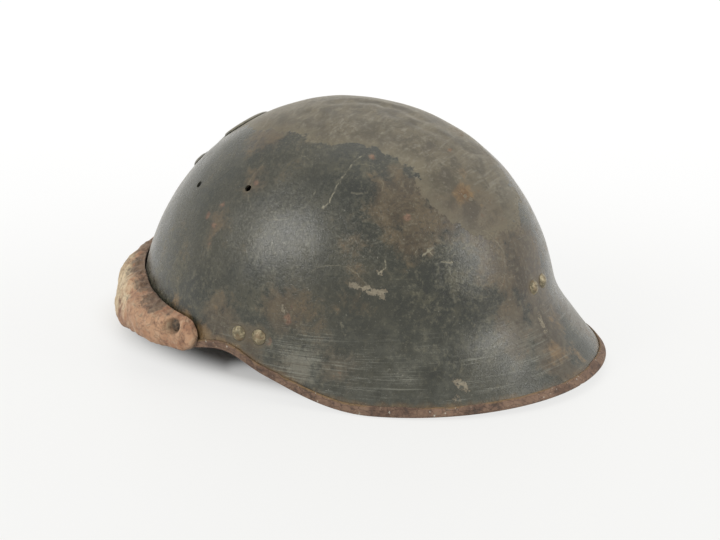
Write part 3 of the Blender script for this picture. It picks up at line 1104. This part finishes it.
band_line = resampled([(0.35, 0.3), (0.05, 1.1), (0.0, 2.0), (0.0, 24.9), (0.12, 25.6),
                       (0.55, 25.95), (1.1, 26.0), (1.7, 25.9), (2.1, 25.5), (2.2, 24.9),
                       (2.2, 2.6), (2.4, 1.9), (3.0, 1.6), (4.6, 1.6), (5.2, 1.8), (5.4, 2.4),
                       (5.4, 7.2), (5.6, 7.75), (6.2, 8.0), (6.8, 7.75), (7.0, 7.2), (7.0, 1.4),
                       (6.8, 0.6), (6.2, 0.1), (5.6, 0.0), (1.4, 0.0), (0.8, 0.08),
                       (0.37, 0.29)], 0.8)
t_band = np.arange(BAND_COLUMNS) * 360.0 / BAND_COLUMNS
grow, high = band_line.T[..., None]
band = head_point(t_band + 0 * grow, grow, high)
soft = np.exp(-(grow / 0.5) ** 2) * ease((17 - high) / 5) * ease(high / 3)
soft = soft * (0.25 + 0.22 * ripples(band, 31, 22) + 0.12 * ripples(band, 32, 8))
band = band - soft[..., None] * outward(t_band)
outer_fold = np.clip((grow - 6.3) / 0.7, 0, 1) * ease((high - 0.5) / 2)
outer_fold = outer_fold * (0.10 + 0.10 * ripples(band, 33, 14))
band = band - outer_fold[..., None] * outward(t_band)
band_mesh = make_mesh("headband_leather", leaned(band), grid_faces(*band.shape[:2], True, True))
soaked = np.exp(-((from_rear(t_band) - 180) / 55) ** 2) * np.exp(-(grow / 2.5) ** 2)
edges = np.exp(-((high - BAND_H) / 0.7) ** 2) + np.exp(-((high - FOLD_H) / 0.6) ** 2) * (grow > 5)

liner_leather = Finish("liner_leather", Specular_IOR_Level=0.4, Sheen_Weight=0.05)
here = liner_leather.place()
cloud = liner_leather.noise(here, 30, 4, 0.6, 0.4)
mottle = liner_leather.noise(here, 140, 6, 0.62, 0.3)
grain = liner_leather.cells(here, 1400)
creases = liner_leather.noise(here, 60, 6, 0.75, 1.6)
fold = creases.rise(0.47, 0.50) * creases.rise(0.53, 0.50)
sweat = (liner_leather.field("sweat") + (cloud - 0.5) * 1.2 + (mottle - 0.5) * 0.6).rise(0.35, 0.95)
colour = liner_leather.coats(
    liner_leather.mix(cloud.rise(0.35, 0.66), (0.135, 0.070, 0.036), (0.230, 0.128, 0.070)),
    (mottle.rise(0.50, 0.70) * 0.6, (0.315, 0.195, 0.115)),
    (sweat * 0.85, (0.048, 0.028, 0.018)),
    (fold * 0.35, (0.070, 0.038, 0.022)),
    (liner_leather.field("edge").rise(0.35, 1.0) * 0.7, (0.062, 0.036, 0.022)))
relief = liner_leather.bump(grain * 0.5 + creases * 0.9 - fold * 0.3 + mottle * 0.5, 0.00045)
liner_leather.set(Base_Color=colour, Roughness=0.46 + mottle * 0.28, Normal=relief)
add_piece(band_mesh, liner_leather, "helmet", "liner_leather", "headband",
          fields={"sweat": soaked, "edge": edges + 0 * t_band})

# Tongues and their stitches

# Seven wedges of thinner leather sewn inside the headband rise to the crown, each with its tip
# turned down round the lace and stitched back. They pleat a little towards the lace.

LACE_R, LACE_Y, LACE_UP, CASING = 22.0, 4.0, 68.0, 3.4
TONGUES, FOOT_HALF, TIP_HALF, TONGUE_T, FOOT_UP, FOOT_IN = 7, 31, 5.5, 1.8, 18.0, 0.3
RADIAN = 57.3  # in degrees


def slab_faces(rows, columns):
    """Faces of a closed sheet whose rows hold its outer points and then its inner ones."""
    across = np.arange(columns // 2 - 1)
    end = np.stack([across, across + 1, columns - 2 - across, columns - 1 - across], -1)
    return [grid_faces(rows, columns, ring_columns=True), end, end[:, ::-1] + (rows - 1) * columns]


def lace_frame(middle):
    """A point of the lace, with the directions out of and along it."""
    out = outward(np.array(middle, float))
    return np.array([0, LACE_Y, LACE_UP]) + LACE_R * out, out, np.array([-out[1], out[0], 0])


def tongue_sheet(middle, u, v, depth):
    """A tongue's face: across its foot on the headband at u = 0, up a quarter ellipse to its
    narrow tip at u = 1, with v from -1 to 1 across it and depth under the outer face."""
    tip, out, side = lace_frame(middle)
    spread = FOOT_HALF / oval(np.array(middle), *HEAD, 2) * RADIAN
    foot = head_point(middle + (1 - u) * v * spread, -FOOT_IN - depth, FOOT_UP)
    end = tip + (u * v * TIP_HALF)[..., None] * side + (0.6 * CASING) * out
    end[..., 2] += CASING - depth
    swing = np.stack([1 - np.cos(np.pi / 2 * u)] * 2 + [np.sin(np.pi / 2 * u)], -1)
    return foot + (end - foot) * swing


def tongue_turn(middle, share, v, radius):
    """The tip's turn-down: an arc of radius round the lace, from 35 degrees short of its top
    over and back up to 250 degrees beyond it."""
    tip, out, side = lace_frame(middle)
    a = np.radians(-35 + 285 * share)
    spot = tip + (v * (TIP_HALF - 0.25 * share))[..., None] * side
    spot = spot - (radius * np.sin(a))[..., None] * out
    spot[..., 2] += radius * np.cos(a)
    return spot


def tube(path, radius, sides, ring=False, up=(0, 0, 1)):
    """A round tube along a path: each section a circle square to the path, its frame made of
    the path's direction crossed with up."""
    path, radius = np.asarray(path, float), np.broadcast_to(radius, len(path))
    ahead = unit(np.roll(path, -1, 0) - np.roll(path, 1, 0) if ring else np.gradient(path, axis=0))
    side = unit(np.cross(ahead, up))[:, None]
    top = np.cross(side[:, 0], ahead)[:, None]
    a = (np.arange(sides) * 2 * np.pi / sides)[:, None]
    points = path[:, None] + radius[:, None, None] * (np.cos(a) * side + np.sin(a) * top)
    if ring:
        return points.reshape(-1, 3), [grid_faces(len(path), sides, True, True)]
    return np.vstack([points.reshape(-1, 3), path[[0, -1]]]), capped_faces(len(path), sides)


u_line, v_line, turn_rows = np.linspace(0, 1, 54), np.linspace(-1, 1, 31), 26
u, v = np.meshgrid(u_line, v_line, indexing="ij")
turned, w = np.meshgrid(np.linspace(0.03, 1, turn_rows), v_line, indexing="ij")
up, across = np.meshgrid(np.append(u_line, np.ones(turn_rows)),
                         np.abs(np.append(v_line, v_line[::-1])), indexing="ij")
seat = np.arange(-0.88, 0.89, 0.16)
stitch_ends = []
for k in range(TONGUES):
    middle = 90 + 360 * k / TONGUES
    outer, inner = (tongue_sheet(middle, u, v, depth) for depth in (0.0, TONGUE_T))
    way = unit(outer - inner)
    pleat = 0.45 * np.cos(v * 8.5 + k) * ease((u - 0.35) / 0.5) * (1 - ease((u - 0.93) / 0.07))
    hollow = 0.5 * ease((u - 0.1) / 0.3) * (1 - ease((u - 0.8) / 0.15))
    sway = (0.30 * ripples(outer, 40 + k, 26) + pleat - hollow) * ease(u / 0.12)
    nick = 1 + 0.012 * ripples(outer, 60 + k, 14) * ease(u / 0.1) * np.abs(v) ** 3
    centre_line = outer[:, 15:16]
    outer, inner = (centre_line + (face - centre_line) * nick[..., None] + sway[..., None] * way
                    for face in (outer, inner))
    outer = np.vstack([outer, tongue_turn(middle, turned, w, CASING)])
    inner = np.vstack([inner, tongue_turn(middle, turned, w, CASING - 1.0)])
    sheet = np.concatenate([outer, inner[:, ::-1]], 1)
    mesh = make_mesh(f"tongue_leather_{k + 1}", leaned(sheet),
                     *slab_faces(*sheet.shape[:2]), sharp=60)
    add_piece(mesh, liner_leather, "helmet", "liner_leather", f"tongue_{k + 1}",
              fields={"sweat": (1 - up) * 0.35, "edge": (across > 0.99) * 1.0 + (up > 0.985) * 0.4})
    for height in (0.055, 0.105):
        stitch_ends.append(np.stack([tongue_sheet(middle, height, at, TONGUE_T + 0.15)
                                     for at in (seat, seat + 0.11)], 1))

stitches = []
share = np.linspace(0, 1, 7)
swell = 0.42 * np.sqrt(np.clip(1.05 - (2 * share - 1) ** 2, 0.05, 1))
for start, stop in np.vstack(stitch_ends):
    way = unit(np.array([-(start + stop)[0], LACE_Y * 2 - (start + stop)[1], 0.0]))
    bow = np.sin(np.pi * share)[:, None] * 0.42 - 0.30
    stitches.append(tube(start + (stop - start) * share[:, None] + bow * way, swell, 8))
stitch_points, stitch_faces = joined(stitches)
thread = Finish("waxed_thread", Specular_IOR_Level=0.35)
twist = thread.noise(thread.place(), 1600, 3, 0.6)
colour = thread.mix(twist.rise(0.35, 0.65), (0.300, 0.230, 0.140), (0.480, 0.400, 0.270))
thread.set(Base_Color=colour, Roughness=0.7, Normal=thread.bump(twist, 0.0002))
stitch_mesh = make_mesh("headband_stitches", leaned(stitch_points), *stitch_faces)
add_piece(stitch_mesh, thread, "helmet", "lace_cotton")

# Crown lace

# A round braided cotton lace drawn through the tips of the tongues and knotted at the front,
# which sets how deep the helmet sits. It is grey with handling.

LOOP_R, LACE_HALF, KNOT_HALF, END_LEN = 22.3, 1.2, 1.08, 15.6

a = np.radians(np.arange(240) * 1.5)
loop = np.stack([LOOP_R * np.cos(a), LOOP_R * np.sin(a), 0.12 * np.sin(7 * a)], -1)
a = np.linspace(0, 2 * np.pi, 90, endpoint=False)
knot = np.stack([0.62 * np.cos(3 * a) + 0.1 * np.cos(a) - 0.2,
                 0.86 * (np.sin(a) + 2 * np.sin(2 * a)) / 1.75,
                 0.86 * (np.cos(a) - 2 * np.cos(2 * a)) / 1.75], -1)
lace_parts = [tube(loop, LACE_HALF, 14, True),
              tube(knot * 1.35 + np.array([0, -LOOP_R, 0]), KNOT_HALF, 12, True, (1, 0, 0))]
run = np.linspace(0, END_LEN, 30)
thick = 1.15 + 0.25 * np.exp(-((run - 14.2) / 0.9) ** 2)
for side in (-1, 1):
    tail = np.stack([1.3 * side - 0.40 * side * run * (0.7 + 0.3 * run / END_LEN),
                     -LOOP_R - 0.9 - 0.20 * run, -0.89 * run], -1)
    lace_parts.append(tube(tail, thick, 12, up=(0, 1, 0)))
lace_points, lace_faces = joined(lace_parts)
cord_mesh = make_mesh("crown_cord", leaned(lace_points + np.array([0, LACE_Y, LACE_UP])), *lace_faces)
cotton = Finish("lace_cotton", Specular_IOR_Level=0.2, Sheen_Weight=0.2)
braid = cotton.cells(cotton.place((1, 1, 1.6)), 1500)
soil = cotton.noise(cotton.place(), 160, 4, 0.6)
colour = cotton.mix(soil.rise(0.35, 0.7), (0.470, 0.420, 0.320), (0.290, 0.245, 0.175))
cotton.set(Base_Color=colour, Roughness=0.85, Normal=cotton.bump(braid, 0.0004))
add_piece(cord_mesh, cotton, "helmet", "lace_cotton", "crown_lace")

# Chinstrap and its fittings

# One leather strap, 15 mm wide, looped round the bar of a steel hanger at each end: riveted back
# on the right, and doubled through a brass slider and a leather keeper on the left. The hangers
# turn on brass studs, and the strap is stowed inside the neck guard.

PIVOT_Y, PIVOT_Z, STOW = 1.3, 25.0, math.radians(8.98517)
HANGER_X, BAR_AT, STRAP_LEAN, STRAIGHT, CHIN_AT = 91.4, 16.0, math.radians(10), 44.0, 110.4
STRAP_HALF, STRAP_THIN, STRAP_STEP, LAYER, BAR = 7.5, 0.8, 0.9, 0.95, 2.5
LEFT_DOUBLED, RIGHT_DOUBLED = 52.0, 24.0
lean_way = np.array([-math.sin(STRAP_LEAN), math.cos(STRAP_LEAN)])
off_way = np.array([lean_way[1], -lean_way[0]])


def swung(points):
    """Points drawn with the loop towards +Y, turned down to where the strap is stowed."""
    x, y, z = np.moveaxis(points, -1, 0)
    return np.stack([x, y * math.cos(STOW) + z * math.sin(STOW) + PIVOT_Y + CENTRE_Y,
                     -y * math.sin(STOW) + z * math.cos(STOW) + PIVOT_Z], -1)


def beside_bar(run, off):
    """A point run mm from the left bar along the strap and off mm out of its middle line."""
    return np.array([HANGER_X, BAR_AT]) + run[..., None] * lean_way + off[..., None] * off_way


def turned_right(way):
    """Directions in the plane turned a quarter to the right."""
    return np.stack([way[:, 1], -way[:, 0]], -1)


def chin_curve(u, off):
    """The loop beyond its straight end: a cubic Bezier to the middle of the chin, set off."""
    a = beside_bar(np.array(STRAIGHT), np.array(0.0))
    corners = np.array([a, a + 34 * lean_way, (46.0, CHIN_AT), (0.0, CHIN_AT)])
    u = u[:, None]
    v = 1 - u
    spot = (v ** 3 * corners[0] + 3 * v * v * u * corners[1] + 3 * v * u * u * corners[2]
            + u ** 3 * corners[3])
    way = unit(3 * v * v * (corners[1] - corners[0]) + 6 * v * u * (corners[2] - corners[1])
               + 3 * u * u * (corners[3] - corners[2]))
    return spot + off * turned_right(way)


def half_strap(doubled):
    """Middle line of half the strap: from its doubled end along the inner layer, round the bar
    and out along the outer layer to the middle of the chin."""
    near = np.linspace(0, 8, 12)
    gap = LAYER + (BAR - LAYER) * (1 - ease(near / 8))
    inner = [beside_bar(near, -gap),
             beside_bar(np.linspace(10, min(doubled, STRAIGHT), 14), np.full(14, -LAYER))]
    if doubled > STRAIGHT:
        inner.append(chin_curve(np.array([0.02, 0.045, 0.0625]), -LAYER))
    a = np.radians(np.linspace(12, 168, 14))
    fold = beside_bar(-BAR * np.sin(a), -BAR * np.cos(a))
    outer = [beside_bar(near, gap), beside_bar(np.linspace(10, STRAIGHT, 14), np.full(14, LAYER)),
             chin_curve(np.linspace(0.03, 1, 60), LAYER)]
    return np.vstack([np.vstack(inner)[::-1], fold, *outer])


right_line = half_strap(RIGHT_DOUBLED)[::-1] * np.array([-1, 1])
strap_line = resampled(np.vstack([half_strap(LEFT_DOUBLED), right_line[1:]]), STRAP_STEP)
off_line = turned_right(unit(np.gradient(strap_line, axis=0)))
a = np.linspace(0, 2 * np.pi, 36, endpoint=False)
across, thick = STRAP_HALF * signed_power(np.cos(a), 0.35), STRAP_THIN * signed_power(np.sin(a), 0.55)
run = np.arange(len(strap_line))[:, None] * STRAP_STEP
nicks = 0.10 * np.sin(run / 13) + 0.07 * np.sin(run / 5.3 + 1)
flat = strap_line[:, None] + thick[None, :, None] * off_line[:, None]
strap_points = np.concatenate([flat, (across * (1 + nicks / STRAP_HALF - 0.02))[..., None]], -1)
strap_tips = np.concatenate([strap_line[[0, -1]], np.zeros((2, 1))], -1)
strap_shape = strap_points.shape[:2]
strap_points = swung(np.vstack([strap_points.reshape(-1, 3), strap_tips]))
strap_mesh = make_mesh("chinstrap_leather", strap_points, *capped_faces(*strap_shape), sharp=65)
strap_leather = Finish("strap_leather", Specular_IOR_Level=0.45)
here = strap_leather.place()
cloud = strap_leather.noise(here, 45, 4, 0.6, 0.4)
mottle = strap_leather.noise(here, 200, 6, 0.65, 0.3)
grain = strap_leather.cells(here, 1600)
side = strap_leather.field("side")
groove = side.rise(0.70, 0.76) * side.rise(0.82, 0.77)
colour = strap_leather.coats(
    strap_leather.mix(cloud.rise(0.35, 0.66), (0.062, 0.030, 0.016), (0.112, 0.056, 0.030)),
    (mottle.rise(0.52, 0.70) * 0.6, (0.185, 0.105, 0.060)),
    ((side + (mottle - 0.5) * 0.25).rise(0.90, 1.0) * 0.7, (0.200, 0.125, 0.075)),
    (groove * 0.6, (0.030, 0.017, 0.011)))
strap_leather.set(Base_Color=colour, Roughness=0.40 + mottle * 0.3,
                  Normal=strap_leather.bump(grain * 0.45 + mottle * 0.6 - groove * 0.9, 0.0004))
beside = np.tile(np.abs(across) / STRAP_HALF, len(strap_line))
add_piece(strap_mesh, strap_leather, "chinstrap", "strap_leather", "chinstrap",
          fields={"side": np.append(beside, [0, 0])})

KEEPER_AT, KEEPER_HALF, KEEPER_THIN = 20.0, 4.0, 0.58
HELD_THIN, HELD_WIDE, HELD_ROUND = 1.5, 7.25, 1.3  # the straight sides and corners of its loop
corner = np.radians(np.linspace(0, 90, 7))
corners = ((1, 1, corner), (-1, 1, corner[::-1]), (-1, -1, corner), (1, -1, corner[::-1]))
loop = np.concatenate([np.stack([across * (HELD_THIN + HELD_ROUND * np.cos(a)),
                                 up * (HELD_WIDE + HELD_ROUND * np.sin(a))], -1)
                       for across, up, a in corners])
loop = resampled(np.vstack([loop, loop[:1]]), 0.8)[:-1]
off_loop = turned_right(unit(np.roll(loop, -1, 0) - np.roll(loop, 1, 0)))
a = np.linspace(0, 2 * np.pi, 28, endpoint=False)
long_way = KEEPER_HALF * signed_power(np.cos(a), 0.4)
thin_way = KEEPER_THIN * signed_power(np.sin(a), 0.6)
ring = loop[:, None] + thin_way[:, None] * off_loop[:, None]
ring_flat = beside_bar(KEEPER_AT + long_way + 0 * ring[..., 0], ring[..., 0])
keeper_points = np.concatenate([ring_flat, ring[..., 1:]], -1)
keeper_mesh = make_mesh("keeper_leather", swung(keeper_points),
                        grid_faces(*keeper_points.shape[:2], True, True))
add_piece(keeper_mesh, strap_leather, "keeper", "strap_leather", "strap_keeper",
          fields={"side": np.tile(np.abs(long_way) / KEEPER_HALF, len(loop))})

brass = Finish("brass_fittings", Metallic=1.0)
mottle = brass.noise(brass.place(), 260, 5, 0.65, 0.3)
colour = brass.coats(
    brass.mix(mottle.rise(0.36, 0.62), (0.250, 0.165, 0.070), (0.480, 0.350, 0.160)),
    (mottle.rise(0.60, 0.72) * 0.7, (0.110, 0.085, 0.050)))
brass.set(Base_Color=colour, Roughness=0.34 + mottle * 0.3, Normal=brass.bump(mottle, 0.00015))
dress(brass, "brass_fittings", "strap_stud_left", "strap_stud_right", "strap_rivet", "strap_slider")
